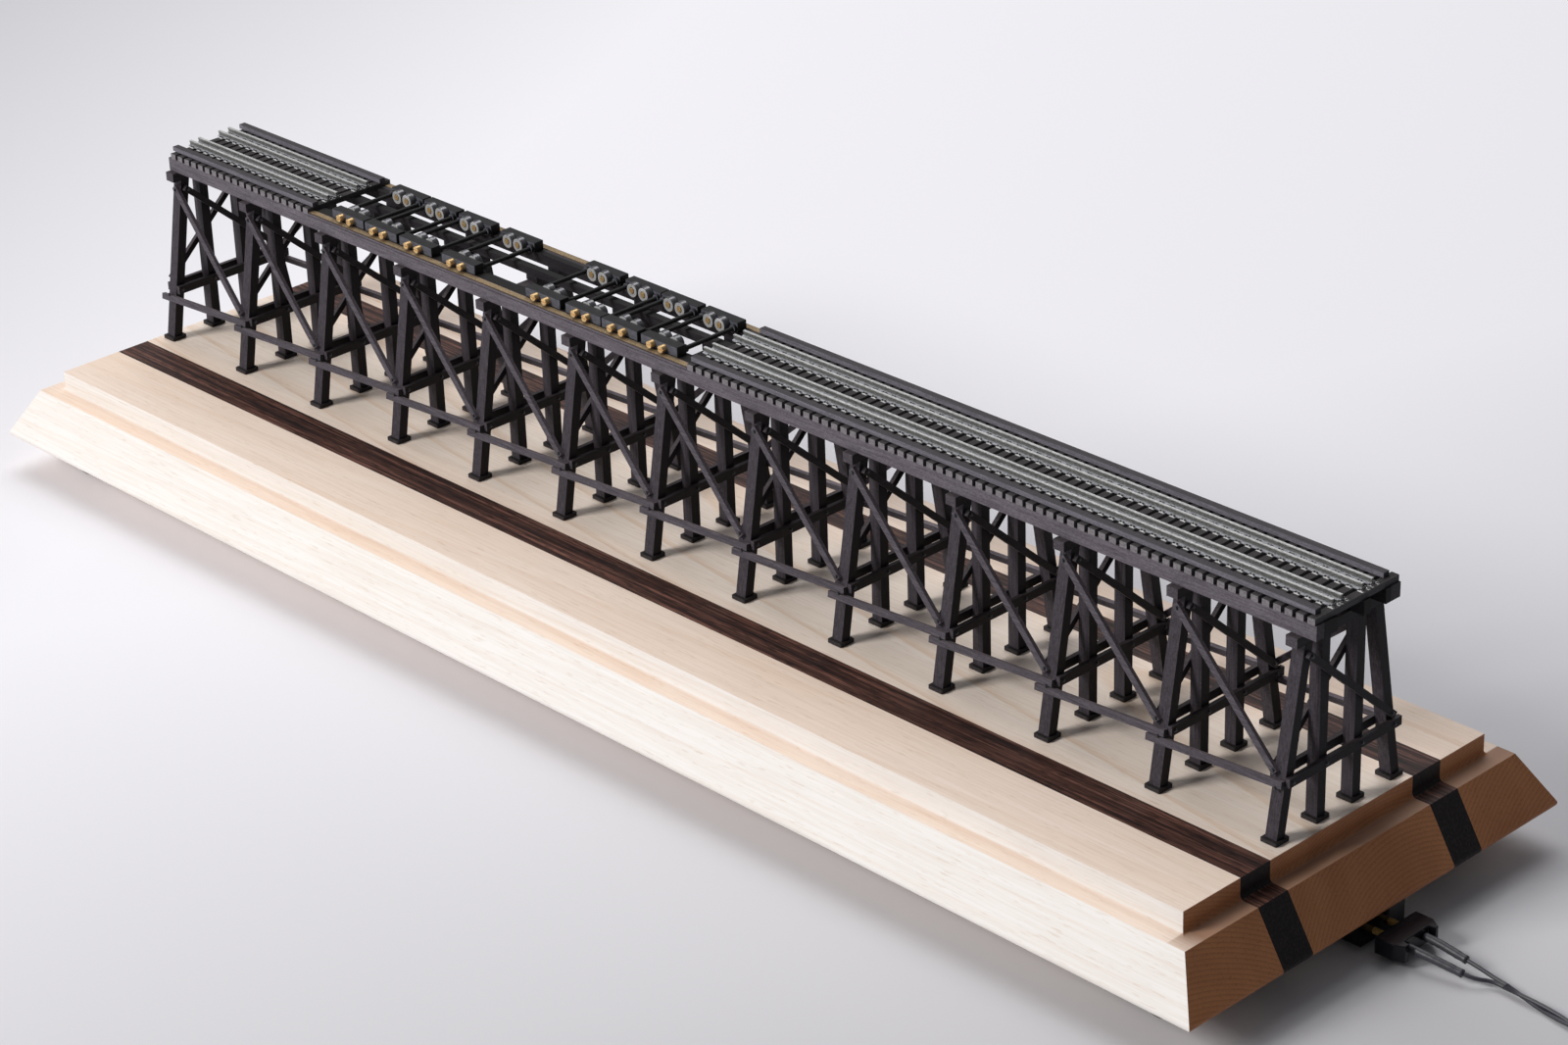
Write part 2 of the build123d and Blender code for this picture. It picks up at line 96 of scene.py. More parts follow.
def spline_points(points, resolution):
    """The smooth line of a route: a NURBS spline whose control points are the route's points."""
    curve = bpy.data.curves.new("route", "CURVE")
    curve.dimensions = "3D"
    curve.resolution_u = resolution
    spline = curve.splines.new("NURBS")
    spline.points.add(len(points) - 1)
    for slot, point in zip(spline.points, points):
        slot.co = (*point, 1.0)
    spline.order_u = 3
    spline.use_endpoint_u = True
    obj = bpy.data.objects.new("route", curve)
    scene.collection.objects.link(obj)
    mesh = bpy.data.meshes.new_from_object(obj)
    line = [v.co.copy() for v in mesh.vertices]
    bpy.data.meshes.remove(mesh)
    bpy.data.objects.remove(obj)
    bpy.data.curves.remove(curve)
    return line


def join_rings(bm, rings):
    """Faces between each ring of vertices and the next."""
    for low, high in zip(rings, rings[1:]):
        for j in range(len(low)):
            n = (j + 1) % len(low)
            bm.faces.new((low[j], low[n], high[n], high[j]))


def level_frame(line, i):
    """The sideways and upward directions across a line at its point i, with sideways kept level."""
    ahead = (line[min(i + 1, len(line) - 1)] - line[max(i - 1, 0)]).normalized()
    side = ahead.cross(UP).normalized()
    return side, side.cross(ahead)


def sweep(bm, line, section, scale=None):
    """A closed skin along a line. The section is (sideways, upward) points, kept level, and scale
    gives its size from the part of the line that has been run."""
    rings = []
    for i, point in enumerate(line):
        side, up = level_frame(line, i)
        k = scale(i / (len(line) - 1)) if scale else 1.0
        rings.append([bm.verts.new(point + side * (a * k) + up * (b * k)) for a, b in section])
    join_rings(bm, rings)
    bm.faces.new(list(reversed(rings[0])))
    bm.faces.new(rings[-1])


def round_section(radius, sides=16):
    return [(radius * math.cos(2 * math.pi * k / sides), radius * math.sin(2 * math.pi * k / sides))
            for k in range(sides)]


# ---- lead: its route and coil, the sleeves, tails and strap -----------------------------------
COIL_C = (389.5, -11.9)
COIL_OUT = 17.85
COIL_IN = 12.2
COIL_LOW_Z = 1.35
COIL_START = 78
LAYERS = 4
LAYER_RISE = 2.62
TURN_SPACING = 2.7
TURN_STEPS = 14
TURN_STEP = 2 * math.pi / TURN_STEPS


def coil_point(radius, angle, z):
    return (COIL_C[0] + radius * math.cos(angle), COIL_C[1] + radius * math.sin(angle), z)


route = [(326.0, 8.0, 1.9), (338.0, 6.8, 1.42), (352.0, 5.2, 1.35), (366.0, 4.6, 1.35), (379.8, 5.4, 1.35)]

# the layers spiral inward and outward in turn, with two points rising from each to the next
steps = round((COIL_OUT - COIL_IN) / TURN_SPACING * TURN_STEPS)
angle = math.radians(COIL_START)
for layer in range(LAYERS):
    inward = layer % 2 == 0
    last = layer == LAYERS - 1
    z_here = COIL_LOW_Z + LAYER_RISE * layer
    for k in range(steps if last else steps + 1):
        part = k / steps
        r = COIL_OUT + (COIL_IN - COIL_OUT) * (part if inward else 1 - part)
        route.append(coil_point(r, angle, z_here))
        angle -= TURN_STEP
    if not last:
        r_turn = COIL_IN if inward else COIL_OUT
        for k in (1, 2):
            route.append(coil_point(r_turn, angle, z_here + LAYER_RISE * k / 3))
            angle -= TURN_STEP
route += [(381.9, 5.0, 8.5), (385.6, 8.2, 6.2), (388.6, 10.2, 3.9), (390.8, 10.9, 3.1), (392.5, 10.9, 3.0)]

lead_line = spline_points([mm(*p) for p in route], 4)
STRAND_R = 0.64 * MM
TWIST_PITCH = 46 * MM


def strand_line(line, phase):
    """The middle of one wire of the twisted pair, which winds round the lead's line."""
    strand = []
    run = 0.0
    for i, point in enumerate(line):
        side, up = level_frame(line, i)
        turn = phase + 2 * math.pi * run / TWIST_PITCH
        strand.append(point + side * (STRAND_R * math.cos(turn)) + up * (STRAND_R * math.sin(turn)))
        if i + 1 < len(line):
            run += (line[i + 1] - point).length
    return strand


bm = bmesh.new()
for phase in (0.0, math.pi):
    sweep(bm, strand_line(lead_line, phase), round_section(STRAND_R, 12))
lead = mesh_object("lead_wires", bm, True)
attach(lead, "stand")
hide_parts("lead", "lead_coil")


def tube_piece(name, points, radius, node, shape=None):
    line = spline_points([mm(*p) for p in points], 12)
    body = bmesh.new()
    sweep(body, line, round_section(radius * MM, 16), shape)
    obj = mesh_object(name, body, True)
    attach(obj, "stand")
    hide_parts(node)
    return obj


def wrinkled(t):
    """A shrunk sleeve: drawn in near its wire end, with faint rings where it has gripped the wire."""
    return 1.0 - 0.07 * math.exp(-((t - 0.93) / 0.05) ** 2) + 0.015 * math.sin(40 * t)


SLEEVE_R = 1.3
TAIL_R = 0.63
front_sleeve = tube_piece("front_sleeve", [(296.0, 1.1, 5.3), (301.5, 1.1, 5.3), (308.0, 2.0, 4.4),
                                           (314.4, 3.0, 3.4)], SLEEVE_R, "lead_sleeves", wrinkled)
rear_sleeve = tube_piece("rear_sleeve", [(296.0, 8.9, 5.3), (300.5, 8.9, 5.3), (306.0, 8.9, 4.6),
                                         (311.3, 8.9, 3.9)], SLEEVE_R, "lead_sleeves", wrinkled)
front_tail = tube_piece("front_tail", [(313.2, 2.8, 3.6), (317.7, 3.5, 2.9), (322.0, 7.7, 2.05),
                                       (326.0, 7.36, 1.9)], TAIL_R, "lead_tails")
rear_tail = tube_piece("rear_tail", [(310.4, 8.9, 4.0), (314.7, 8.9, 3.5), (322.1, 8.9, 2.05),
                                     (326.0, 8.64, 1.9)], TAIL_R, "lead_tails")

# a strap round the coil's turns, a rounded oblong that stands across them
STRAP_ANGLE = -60
STRAP_FROM_C = 15.0
STRAP_Z = 5.6
STRAP_HALF_ACROSS = 4.7
STRAP_HALF_UP = 5.2
STRAP_HALF_WIDTH = 2.2
STRAP_THICK = 0.35
STRAP_STEPS = 32
ROUNDING = 0.45


def squared(wave):
    """A sine or cosine pushed outward, so that the circle it draws becomes a rounded square."""
    return abs(wave) ** ROUNDING * (1 if wave > 0 else -1)


strap_angle = math.radians(STRAP_ANGLE)
outward = Vector((math.cos(strap_angle), math.sin(strap_angle), 0))
strap_mid = mm(*COIL_C, STRAP_Z) + outward * STRAP_FROM_C * MM
strap_side = outward.cross(UP) * (STRAP_HALF_WIDTH * MM)
strap = bmesh.new()
rings = []
for k in range(STRAP_STEPS):
    t = 2 * math.pi * k / STRAP_STEPS
    point = (strap_mid + outward * (STRAP_HALF_ACROSS * MM * squared(math.cos(t)))
             + UP * (STRAP_HALF_UP * MM * squared(math.sin(t))))
    lift = (point - strap_mid).normalized() * (STRAP_THICK * MM)
    rings.append([strap.verts.new(point + a * strap_side + b * lift)
                  for a, b in ((-1, 0), (1, 0), (1, 1), (-1, 1))])
join_rings(strap, rings + rings[:1])
strap_obj = mesh_object("coil_strap", strap, True)
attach(strap_obj, "stand")

# ---- small fittings: plates and spikes on the ties, bolt heads at the trestle's joints -----------
TRESTLE_Y = 4.3
TIE_TOP = 108.9
RAIL_Y = (-8.75, -4.9, 4.4, 8.75)
RIGHT_TIES = [14.05 + 4.12 * k for k in range(63)]
LEFT_TIES = [-265.0 + 4.137 * k for k in range(20)]
PLATE = (2.1, 0.74, 0.28)
PLATE_FROM_RAIL = 1.32
SPIKE = (0.5, 0.55, 0.44)
SPIKE_Z = TIE_TOP + 0.45
SPIKE_DX = 0.55
SPIKE_INWARD = 0.1
TOP_INSET = 0.25
UNEVEN = 0.12


def brick(bm, centre, size, spin=0.0):
    """A block turned by spin round its upright axis, with its top drawn in a little."""
    made = bmesh.ops.create_cube(bm, size=1.0)["verts"]
    place = Matrix.Translation(mm(*centre)) @ Matrix.Rotation(spin, 4, "Z")
    bmesh.ops.transform(bm, matrix=place @ Matrix.Diagonal((*mm(*size), 1.0)), verts=made)
    top = max(v.co.z for v in made)
    for v in made:
        if v.co.z > top - 1e-7:
            v.co.x += (centre[0] * MM - v.co.x) * TOP_INSET
            v.co.y += (centre[1] * MM - v.co.y) * TOP_INSET


plates = bmesh.new()
spikes = bmesh.new()
for i, x in enumerate(RIGHT_TIES + LEFT_TIES):
    for j, y_rail in enumerate(RAIL_Y):
        for side in (-1, 1):
            sway = UNEVEN * math.sin(7.1 * i + 3.3 * j + side)
            y_here = TRESTLE_Y + y_rail + side * PLATE_FROM_RAIL
            brick(plates, (x + sway, y_here, TIE_TOP + PLATE[2] / 2), PLATE)
            for end in (-1, 1):
                x_spike = x + sway + end * SPIKE_DX
                brick(spikes, (x_spike, y_here - side * SPIKE_INWARD, SPIKE_Z), SPIKE, sway)
plates_obj = mesh_object("tie_plates", plates)
spikes_obj = mesh_object("rail_spikes", spikes)

BENTS = 13
BENT_X = [-265.3 + 44.15 * i for i in range(BENTS)]
BOLT_R = 0.5
BOLT_TOP = 0.55
WASHER_R = BOLT_R * 1.45
WASHER_TOP = 0.15
SUNK = -0.1
BRACE_FACE_X = 3.7
SASH_Z = 57.4
SASH_BOLTS = (8.0, 22.95)
GIRT_Z = 55.3
DIAGONAL_HEAD = (0.7, 95.0)
DIAGONAL_FOOT = (1.6, 60.3)
# for each side, the (facing, distance from the middle, z) of the bolts of a bent's crossed braces
SWAY_BOLTS = {-1: ((1, 16.0, 95.2), (-1, 21.9, 61.2)), 1: ((1, 21.9, 61.4), (-1, 15.1, 95.2))}
# an outer post's face is this far from the middle at the pad's top and leans inward above it
FACE_Y = 27.8
FACE_Z = 39.4
RAKE = math.atan2(10.2, 59.4)
# the girts and the lengthwise diagonals lie on that face, and their bolts stand this far out
LYING_OUT = 1.5


def bolt_head(bm, centre, outward):
    """A low six-sided head on a washer, standing on a face."""
    turn = Vector(outward).to_track_quat("Z", "Y").to_matrix().to_4x4()
    for r, low, high, sides in ((WASHER_R, SUNK, WASHER_TOP, 12), (BOLT_R, WASHER_TOP, BOLT_TOP, 6)):
        made = bmesh.ops.create_cone(bm, cap_ends=True, segments=sides, radius1=r * MM,
                                     radius2=r * 0.9 * MM, depth=(high - low) * MM)["verts"]
        move = Matrix.Translation(mm(*centre)) @ turn @ Matrix.Translation(mm(0, 0, (low + high) / 2))
        bmesh.ops.transform(bm, matrix=move, verts=made)


def lengthwise_bolts(n, side):
    """(x, z) of the bolts on an outer post of bent n: the girt's, and those of the diagonals whose
    head or foot is there. On the rear side the two end bents carry the girt's alone."""
    x = BENT_X[n]
    between = 0 < n < BENTS - 1
    places = [(x, GIRT_Z)]
    if between or (side < 0 and n == 0):
        places.append((x - side * DIAGONAL_HEAD[0], DIAGONAL_HEAD[1]))
    if between or (side < 0 and n == BENTS - 1):
        places.append((x + side * DIAGONAL_FOOT[0], DIAGONAL_FOOT[1]))
    return places


bolts = bmesh.new()
for n, x in enumerate(BENT_X):
    for side in (-1, 1):
        sash_bolts = [(facing, y_off, SASH_Z) for facing in (-1, 1) for y_off in SASH_BOLTS]
        for facing, y_off, z in sash_bolts + list(SWAY_BOLTS[side]):
            place = (x + facing * BRACE_FACE_X, TRESTLE_Y + y_off * side, z)
            bolt_head(bolts, place, (facing, 0, 0))
        normal = (0, side * math.cos(RAKE), math.sin(RAKE))
        for x_bolt, z in lengthwise_bolts(n, side):
            y_face = TRESTLE_Y + side * (FACE_Y - (z - FACE_Z) * math.tan(RAKE))
            bolt_head(bolts, (x_bolt, y_face + normal[1] * LYING_OUT, z + normal[2] * LYING_OUT), normal)
bolts_obj = mesh_object("joint_bolts", bolts)
for piece in (plates_obj, spikes_obj, bolts_obj):
    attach(piece, "stand")

# ---- materials -----------------------------------------------------------------------------


class Shade:
    """A node material built up a step at a time, in object coordinates (metres)."""

    def __init__(self, name, rough=0.5, metal=0.0, sheen=0.5):
        self.mat = bpy.data.materials.new(name)
        self.mat.use_nodes = True
        self.tree = self.mat.node_tree
        self.bsdf = self.tree.nodes["Principled BSDF"]
        self.bsdf.inputs["Roughness"].default_value = rough
        self.bsdf.inputs["Metallic"].default_value = metal
        self.bsdf.inputs["Specular IOR Level"].default_value = sheen
        self.coord = self.tree.nodes.new("ShaderNodeTexCoord").outputs["Object"]

    def link(self, a, b):
        self.tree.links.new(a, b)

    def add(self, kind, **values):
        node = self.tree.nodes.new(kind)
        for key, value in values.items():
            setattr(node, key, value)
        return node

    def space(self, stretch, turn=(0, 0, 0)):
        node = self.add("ShaderNodeMapping")
        node.inputs["Scale"].default_value = stretch
        node.inputs["Rotation"].default_value = turn
        self.link(self.coord, node.inputs["Vector"])
        return node.outputs["Vector"]

    def noise(self, stretch, detail=4.0, roughness=0.55, distortion=0.0):
        node = self.add("ShaderNodeTexNoise")
        self.link(self.space(stretch), node.inputs["Vector"])
        node.inputs["Scale"].default_value = 1.0
        node.inputs["Detail"].default_value = detail
        node.inputs["Roughness"].default_value = roughness
        node.inputs["Distortion"].default_value = distortion
        return node.outputs["Fac"]

    def rings(self, centre, tilt, pitch, distortion, detail=2.0):
        """Growth rings: 0..1 across each ring round an axis near X through (y, z) centre."""
        place = self.add("ShaderNodeMapping")
        place.inputs["Location"].default_value = (0, -centre[0], -centre[1])
        place.inputs["Rotation"].default_value = tilt
        self.link(self.coord, place.inputs["Vector"])
        squeeze = self.add("ShaderNodeMapping")
        squeeze.inputs["Scale"].default_value = (0.12, 1, 1)
        self.link(place.outputs["Vector"], squeeze.inputs["Vector"])
        node = self.add("ShaderNodeTexWave", wave_type="RINGS", rings_direction="X", wave_profile="SAW")
        self.link(squeeze.outputs["Vector"], node.inputs["Vector"])
        node.inputs["Scale"].default_value = math.pi / 10 / pitch
        node.inputs["Distortion"].default_value = distortion
        node.inputs["Detail"].default_value = detail
        node.inputs["Detail Scale"].default_value = 60 * pitch / math.pi
        return node.outputs["Fac"]

    def ramp(self, fac, stops):
        """A colour ramp of (place, colour) stops, where a colour of one number is a grey."""
        node = self.add("ShaderNodeValToRGB")
        ramp = node.color_ramp
        while len(ramp.elements) < len(stops):
            ramp.elements.new(0.5)
        for element, (place, colour) in zip(ramp.elements, stops):
            element.position = place
            element.color = (*colour, 1.0) if len(colour) == 3 else (*colour * 3, 1.0)
        self.link(fac, node.inputs["Fac"])
        return node.outputs["Color"]

    def mix(self, fac, a, b, blend="MIX"):
        node = self.add("ShaderNodeMix", data_type="RGBA", blend_type=blend)
        for value, socket in ((fac, node.inputs[0]), (a, node.inputs[6]), (b, node.inputs[7])):
            if isinstance(value, bpy.types.NodeSocket):
                self.link(value, socket)
            elif isinstance(value, (int, float)):
                socket.default_value = value
            else:
                socket.default_value = (*value, 1.0)
        return node.outputs[2]

    def step(self, value, low, high):
        """0 at low, 1 at high, flat beyond them."""
        node = self.add("ShaderNodeMapRange", clamp=True)
        node.inputs[1].default_value = low
        node.inputs[2].default_value = high
        self.link(value, node.inputs[0])
        return node.outputs[0]

    def axis(self, source, name):
        node = self.add("ShaderNodeSeparateXYZ")
        self.link(source, node.inputs[0])
        return node.outputs[name]

    def normal_axis(self, name):
        return self.axis(self.add("ShaderNodeNewGeometry").outputs["Normal"], name)

    def size_of(self, value):
        node = self.add("ShaderNodeMath", operation="ABSOLUTE")
        self.link(value, node.inputs[0])
        return node.outputs[0]

    def colour(self, socket):
        self.link(socket, self.bsdf.inputs["Base Color"])

    def roughness(self, fac, low, high):
        node = self.add("ShaderNodeMapRange", clamp=True)
        node.inputs[3].default_value = low
        node.inputs[4].default_value = high
        self.link(fac, node.inputs[0])
        self.link(node.outputs[0], self.bsdf.inputs["Roughness"])

    def bump(self, height, depth):
        node = self.add("ShaderNodeBump")
        node.inputs["Strength"].default_value = 1.0
        node.inputs["Distance"].default_value = depth
        self.link(height, node.inputs["Height"])
        self.link(node.outputs["Normal"], self.bsdf.inputs["Normal"])


# where painted light and shade lie on the maple: paler under the track, darker on the ledge at the +X end
PAINTED_LIGHT_Y = (0.034, 0.022)
LEDGE_PAINTED_SHADE_X = (0.2702, 0.2708)
LEDGE_PAINTED_SHADE_FRONT_Y = (-0.066, -0.078)


def maple(name, centre, tilt, lines):
    """Pale sawn maple: faint growth lines along it, flecks and ringed end grain.

    Some tones are painted light and shade by place and facing: the board is painted paler under
    the track, where the trestle shades it, and lighter on faces toward -Y as a painted highlight.
    The end grain is darker than the faces, and painted shade makes it darker still at the +X end,
    where the ledge carries painted shade too."""
    s = Shade(name, 0.5, 0.0, 0.3)
    x = s.axis(s.coord, "X")
    y = s.axis(s.coord, "Y")
    broad = s.noise((2.5, 22.0, 22.0), 5.0, 0.55, 1.0)
    fine = s.noise((30.0, 1100.0, 1100.0), 3.0, 0.6)
    warm = (0.88, 0.70, 0.565)
    # painted light: a paler copy of the board for under the track, where the trestle shades it
    under_track_painted_light = (0.93, 0.79, 0.675)
    side = s.ramp(broad, [(0.32, warm), (0.52, (0.91, 0.765, 0.655)), (0.72, warm)])
    under = s.ramp(broad, [(0.32, under_track_painted_light), (0.52, (0.95, 0.84, 0.745)), (0.72, under_track_painted_light)])
    side = s.mix(s.step(s.size_of(y), *PAINTED_LIGHT_Y), side, under)
    # painted highlight: faces toward -Y are made lighter
    painted_highlight_tint = s.ramp(broad, [(0.3, (0.90, 0.86, 0.81)), (0.55, (0.92, 0.885, 0.85))])
    side = s.mix(s.step(s.normal_axis("Y"), -0.45, -0.8), side, painted_highlight_tint)
    side = s.mix(1.0, side, s.ramp(fine, [(0.38, (0.94, 0.92, 0.90)), (0.6, (1.0,))]), "MULTIPLY")
    ring = s.rings(centre, tilt, 0.0085, 2.2)
    line = s.ramp(ring, [(0.0, (1.0,)), (0.80, (0.985, 0.97, 0.95)), (0.93, (0.90, 0.82, 0.74)),
                         (0.97, (1.0,))])
    side = s.mix(lines, side, line, "MULTIPLY")
    specks = s.noise((160.0, 1700.0, 1700.0), 2.0, 0.5)
    flecks = s.ramp(specks, [(0.62, (1.0,)), (0.70, (0.90, 0.86, 0.82))])
    side = s.mix(1.0, side, flecks, "MULTIPLY")
    close = s.rings(centre, tilt, 0.0013, 7.0)
    # end grain: the dark brown toward +X is painted shade; the paler colour toward -X is the end grain's
    # own
    end = s.ramp(broad, [(0.35, (0.37, 0.145, 0.056)), (0.65, (0.46, 0.195, 0.080))])
    end = s.mix(s.step(x, 0.1, -0.1), end, (0.66, 0.47, 0.33))
    ringed = s.ramp(close, [(0.0, (1.04,)), (0.5, (0.98,)), (0.88, (0.82,)), (1.0, (0.97,))])
    end = s.mix(1.0, end, ringed, "MULTIPLY")
    pores = s.ramp(s.noise((1500.0, 1500.0, 1500.0), 2.0, 0.5), [(0.56, (1.0,)), (0.64, (0.84,))])
    end = s.mix(1.0, end, pores, "MULTIPLY")
    # painted shade on the upward faces of the ledge at the +X end, stopping short of the front board's
    # corner
    ledge_painted_shade = s.mix(s.step(x, *LEDGE_PAINTED_SHADE_X), side, (0.36, 0.205, 0.13))
    ledge_painted_shade = s.mix(s.step(y, *LEDGE_PAINTED_SHADE_FRONT_Y), ledge_painted_shade, side)
    side = s.mix(s.step(s.normal_axis("Z"), 0.6, 0.9), side, ledge_painted_shade)
    at_end = s.step(s.size_of(s.normal_axis("X")), 0.25, 0.5)
    s.colour(s.mix(at_end, side, end))
    s.roughness(fine, 0.46, 0.6)
    s.bump(fine, 0.00004)
    return s.mat


def wenge():
    """Red-brown streaks among near-black pores; the end grain is nearly black."""
    s = Shade("wenge", 0.55, 0.0, 0.25)
    bands = s.noise((14.0, 900.0, 900.0), 5.0, 0.62, 0.25)
    broad = s.noise((8.0, 160.0, 160.0), 3.0, 0.5)
    face = s.ramp(bands, [(0.36, (0.018, 0.007, 0.005)), (0.45, (0.052, 0.020, 0.014)),
                          (0.53, (0.105, 0.043, 0.030)), (0.63, (0.22, 0.098, 0.070))])
    face = s.mix(1.0, face, s.ramp(broad, [(0.3, (0.6,)), (0.7, (1.0,))]), "MULTIPLY")
    pores = s.ramp(s.noise((170.0, 1800.0, 1800.0), 2.0, 0.5), [(0.52, (1.0,)), (0.62, (0.35,))])
    face = s.mix(1.0, face, pores, "MULTIPLY")
    speck = s.noise((1200.0, 1200.0, 1200.0), 2.0, 0.5)
    end = s.ramp(speck, [(0.4, (0.005, 0.004, 0.005)), (0.7, (0.020, 0.013, 0.013))])
    at_end = s.step(s.size_of(s.normal_axis("X")), 0.45, 0.6)
    s.colour(s.mix(at_end, face, end))
    s.roughness(bands, 0.6, 0.42)
    s.bump(bands, 0.00012)
    return s.mat


# where painted shade lies on the timber under the track's middle
PAINTED_SHADE_FRONT_Y = (-0.0111, -0.0109)
PAINTED_SHADE_REAR_Y = (0.0185, 0.0190)


def timber(name, stretch, dark, light, top, painted_shade_far_end=0.5, painted_shade_inside=1.0):
    """Stained timber, streaked along its length. Its last three arguments are painted light and shade:
    they scale the tone of its upper faces, of its +X faces and of the parts under the track's middle."""
    s = Shade(name, 0.6, 0.0, 0.2)
    grain = s.noise(stretch, 4.0, 0.6, 0.2)
    patch = s.noise((130.0, 130.0, 130.0), 3.0, 0.5)
    base = s.ramp(grain, [(0.34, dark), (0.66, light)])
    rough_cut = s.noise((1100.0, 1900.0, 1900.0), 3.0, 0.7)
    tooth = s.ramp(rough_cut, [(0.36, (0.80,)), (0.5, (1.0,)), (0.64, (1.25,))])
    base = s.mix(1.0, base, tooth, "MULTIPLY")
    between = [(a + b) * 0.5 for a, b in zip(dark, light)]
    worn = s.mix(s.ramp(patch, [(0.45, (0.0,)), (0.75, (0.3,))]), base, between)
    # painted light and shade: the upper faces take the top factor
    on_top = s.step(s.normal_axis("Z"), 0.5, 0.8)
    painted_tone = s.mix(on_top, worn, s.mix(1.0, worn, (top, top * 0.94, top * 0.88), "MULTIPLY"))
    # painted shade on the +X faces
    on_far = s.step(s.normal_axis("X"), 0.75, 0.9)
    painted_tone = s.mix(on_far, painted_tone, s.mix(1.0, painted_tone, (painted_shade_far_end,) * 3, "MULTIPLY"))
    # painted shade under the track's middle; behind the rear stop every face takes the upper faces' factor
    if painted_shade_inside != 1.0:
        y = s.axis(s.coord, "Y")
        painted_tone = s.mix(s.step(y, *PAINTED_SHADE_FRONT_Y), painted_tone, s.mix(1.0, painted_tone, (painted_shade_inside,) * 3, "MULTIPLY"))
        painted_tone = s.mix(s.step(y, *PAINTED_SHADE_REAR_Y), painted_tone, s.mix(1.0, worn, (top,) * 3, "MULTIPLY"))
    s.colour(painted_tone)
    s.roughness(grain, 0.52, 0.7)
    s.bump(grain, 0.00006)
    return s.mat


def metal(name, colour, rough, spread=0.1, scale=900.0, tint=None, metallic=1.0):
    """Metal mottled between its colour and a tint, which is the colour darkened if none is given."""
    s = Shade(name, rough, metallic)
    wear = s.noise((scale, scale, scale), 3.0, 0.6)
    other = tint or [c * 0.8 for c in colour]
    s.colour(s.ramp(wear, [(0.35, other), (0.65, colour)]))
    s.roughness(wear, rough + spread, rough)
    s.bump(wear, 0.00001)
    return s.mat


def plastic(name, colour, rough, depth=0.00001, sheen=0.5):
    """Moulded plastic or rubber with a faint skin texture of the given depth."""
    s = Shade(name, rough, 0.0, sheen)
    skin = s.noise((2500.0, 2500.0, 2500.0), 2.0, 0.5)
    s.colour(s.ramp(skin, [(0.3, [c * 0.85 for c in colour]), (0.7, colour)]))
    s.roughness(skin, rough - 0.05, rough + 0.05)
    s.bump(skin, depth)
    return s.mat


WEB_FROM = (0.1094, 0.1096)
HEAD_FROM = (0.11072, 0.1108)


def rail_metal():
    """Weathered nickel silver: worn head, mottled grey-green web and a paler foot."""
    s = Shade("rail_metal", 0.45, 0.35)
    wear = s.noise((900.0, 3200.0, 3200.0), 4.0, 0.7)
    height = s.axis(s.coord, "Z")
    web = s.ramp(wear, [(0.38, (0.085, 0.088, 0.082)), (0.62, (0.27, 0.275, 0.26))])
    foot = s.ramp(wear, [(0.38, (0.26, 0.265, 0.29)), (0.62, (0.52, 0.53, 0.57))])
    head = s.ramp(wear, [(0.38, (0.30, 0.30, 0.295)), (0.62, (0.66, 0.66, 0.655))])
    low = s.mix(s.step(height, *WEB_FROM), foot, web)
    s.colour(s.mix(s.step(height, *HEAD_FROM), low, head))
    s.roughness(wear, 0.6, 0.4)
    s.bump(wear, 0.00002)
    return s.mat


CARRIAGE_X = (-166.2, -147.9, -128.9, -105.8, -61.8, -41.5, -23.5, -4.2)
AXLE_DX = 2.75
AXLE_Z = 109.25
ROLLER_R = 2.5 * MM


def roller_metal(name, x_axle):
    """Polished faces, turned in rings round the axle, and a darker tread: the contrast is partly
    the steel's own finish and partly painted reflection.
    """
    s = Shade(name, 0.25, 0.55)
    wear = s.noise((900.0, 900.0, 900.0), 3.0, 0.6)
    spot = s.add("ShaderNodeMapping")
    spot.inputs["Location"].default_value = (-x_axle * MM / ROLLER_R, 0, -AXLE_Z * MM / ROLLER_R)
    spot.inputs["Scale"].default_value = (1 / ROLLER_R, 0, 1 / ROLLER_R)
    s.link(s.coord, spot.inputs["Vector"])
    span = s.add("ShaderNodeVectorMath", operation="LENGTH")
    s.link(spot.outputs["Vector"], span.inputs[0])
    face = s.ramp(span.outputs["Value"],
                  [(0.40, (0.02,)), (0.46, (0.05,)), (0.50, (0.85,)), (0.66, (0.92,)), (0.69, (0.35,)),
                   (0.72, (0.90,)), (0.92, (0.95,)), (0.96, (0.45,))])
    # partly painted reflection: the tread darker and the faces bright, besides the steel's own finish
    tread = s.ramp(wear, [(0.35, (0.10, 0.10, 0.11)), (0.65, (0.20, 0.20, 0.21))])
    s.colour(s.mix(s.step(s.size_of(s.normal_axis("Y")), 0.85, 0.95), tread, face))
    s.roughness(wear, 0.30, 0.18)
    s.bump(wear, 0.00001)
    return s.mat


def block_black():
    """Black blocks, nearly black, with a painted sheen of cool grey on the faces toward -Y that
    stands in for reflected light."""
    s = Shade("carriage_black", 0.5, 0.0, 0.25)
    skin = s.noise((500.0, 1800.0, 1800.0), 3.0, 0.6)
    # painted sheen: cool grey for the faces toward -Y
    side = s.ramp(skin, [(0.35, (0.066, 0.069, 0.086)), (0.65, (0.125, 0.128, 0.150))])
    dull = s.ramp(skin, [(0.3, (0.006, 0.006, 0.007)), (0.7, (0.020, 0.020, 0.021))])
    front = s.step(s.normal_axis("Y"), -0.9, -0.7)
    s.colour(s.mix(front, side, dull))
    s.roughness(skin, 0.5, 0.7)
    s.bump(skin, 0.00001)
    return s.mat


